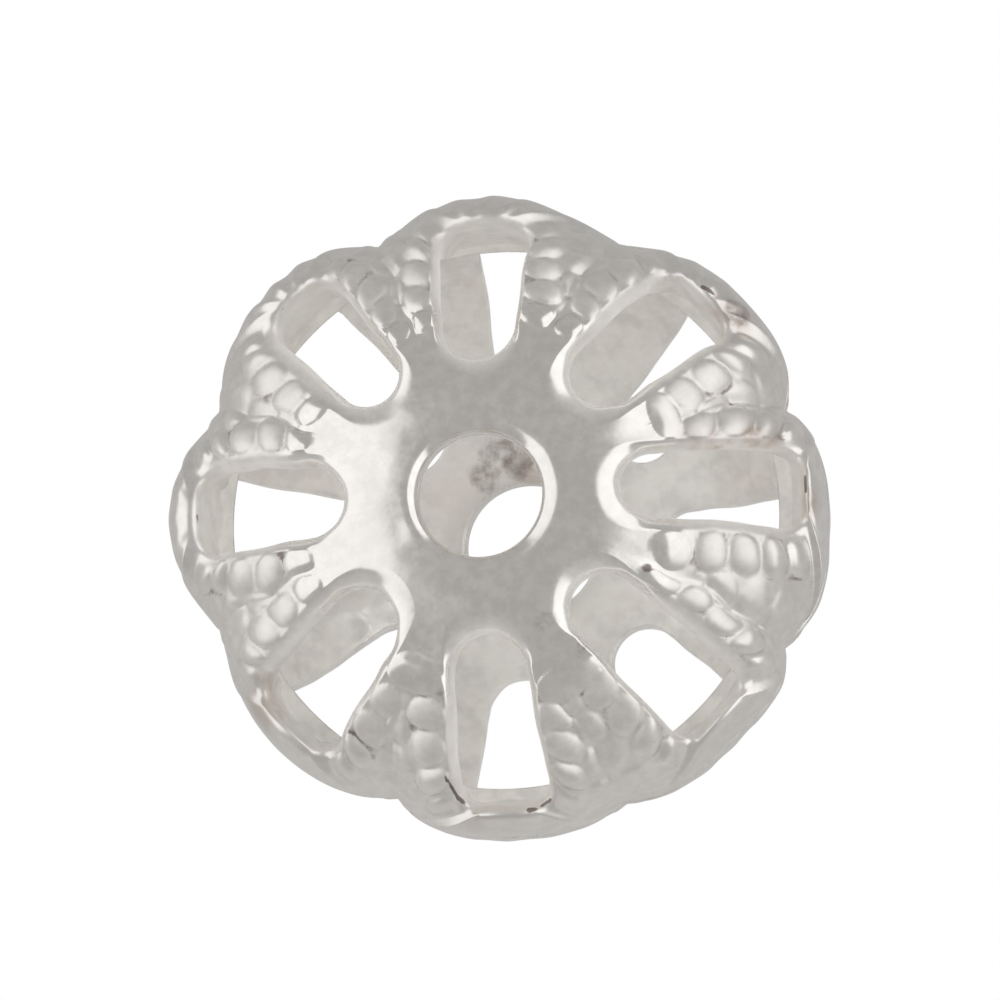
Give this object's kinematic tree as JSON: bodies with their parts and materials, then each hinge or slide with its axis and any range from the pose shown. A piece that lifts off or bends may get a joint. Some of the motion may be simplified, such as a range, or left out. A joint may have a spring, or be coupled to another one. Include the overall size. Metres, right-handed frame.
{
  "type": "openwork rondelle bead",
  "caption": "Hollow silver-plated openwork rondelle bead: two domed, scalloped half shells with pierced slots, raised grain borders and a thread hole through both hubs.",
  "frame": {"origin": "centre of the bead, on the axis of its thread hole and in the plane of the girdle", "axes": "+Z along the thread hole towards the upper hub, +X through the middle of one petal"},
  "size_m": [0.0102, 0.01, 0.0058],
  "materials": {
    "silver_plate": "silver plated and polished, with tarnish in the creases"
  },
  "bodies": {
    "root": {"upper_shell": "silver_plate", "lower_shell": "silver_plate"}
  },
  "joints": []
}
